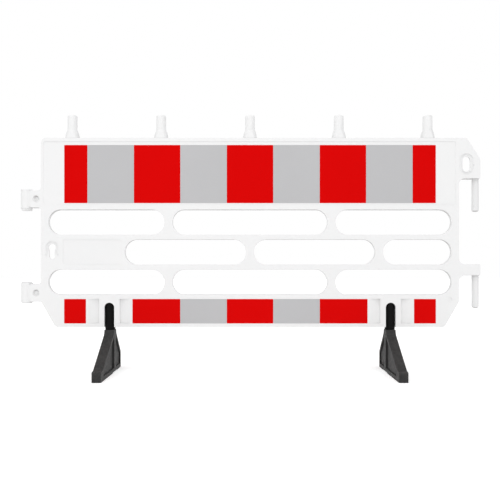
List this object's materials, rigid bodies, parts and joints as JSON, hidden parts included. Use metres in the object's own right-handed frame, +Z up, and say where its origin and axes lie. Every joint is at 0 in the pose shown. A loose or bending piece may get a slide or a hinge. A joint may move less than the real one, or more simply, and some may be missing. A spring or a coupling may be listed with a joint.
{
  "type": "type three barricade",
  "caption": "Long hollow plastic barricade panel with slots, banded reflective film, lamp spigots, coupling pins and sleeves, on swivel feet.",
  "frame": {"origin": "on the ground, under the middle of the whole; the feet reach further to the front, so the panel's middle plane is at Y = 0.07", "axes": "+X along the panel towards the coupling pins, +Y from the front face to the rear face, +Z up"},
  "size_m": [1.9855, 0.44, 1.111],
  "materials": {
    "panel_white": "satin moulded polyethylene",
    "pin_white": "satin moulded plastic",
    "film_red": "retroreflective film",
    "film_grey": "retroreflective film",
    "foot_black": "moulded recycled rubber",
    "post_black": "smooth moulded plastic",
    "bolt_steel": "zinc plated",
    "insert_brass": "turned"
  },
  "bodies": {
    "panel": {"front_shell": "panel_white", "rear_shell": "panel_white", "lamp_spigot_1": "panel_white", "lamp_spigot_2": "panel_white", "lamp_spigot_3": "panel_white", "lamp_spigot_4": "panel_white", "lamp_spigot_5": "panel_white", "coupling_pin_upper": "pin_white", "coupling_pin_lower": "pin_white", "coupling_sleeve_upper": "panel_white", "coupling_sleeve_lower": "panel_white", "sleeve_rivet_upper": "pin_white", "sleeve_rivet_lower": "pin_white", "film_front_top_1": "film_red", "film_front_top_2": "film_grey", "film_front_top_3": "film_red", "film_front_top_4": "film_grey", "film_front_top_5": "film_red", "film_front_top_6": "film_grey", "film_front_top_7": "film_red", "film_front_top_8": "film_grey", "film_front_top_9": "film_red", "film_rear_top_1": "film_red", "film_rear_top_2": "film_grey", "film_rear_top_3": "film_red", "film_rear_top_4": "film_grey", "film_rear_top_5": "film_red", "film_rear_top_6": "film_grey", "film_rear_top_7": "film_red", "film_rear_top_8": "film_grey", "film_rear_top_9": "film_red", "film_front_low_1": "film_red", "film_front_low_2": "film_red", "film_front_low_3": "film_grey", "film_front_low_4": "film_red", "film_front_low_5": "film_grey", "film_front_low_6": "film_red", "film_front_low_7": "film_red", "film_rear_low_1": "film_red", "film_rear_low_2": "film_red", "film_rear_low_3": "film_grey", "film_rear_low_4": "film_red", "film_rear_low_5": "film_grey", "film_rear_low_6": "film_red", "film_rear_low_7": "film_red"},
    "foot_left": {"foot_left": "foot_black", "swivel_post_left": "post_black", "foot_bolt_left": "bolt_steel", "foot_washer_left": "bolt_steel", "post_insert_left": "insert_brass"},
    "foot_right": {"foot_right": "foot_black", "swivel_post_right": "post_black", "foot_bolt_right": "bolt_steel", "foot_washer_right": "bolt_steel", "post_insert_right": "insert_brass"}
  },
  "joints": [
    {"name": "foot_left_swivel", "type": "hinge", "parent": "panel", "child": "foot_left", "pos_m": [-0.606, 0.07, 0.183], "axis": [0, 0, 1], "range_deg": [-90, 90]},
    {"name": "foot_right_swivel", "type": "hinge", "parent": "panel", "child": "foot_right", "pos_m": [0.606, 0.07, 0.183], "axis": [0, 0, 1], "range_deg": [-90, 90]}
  ]
}
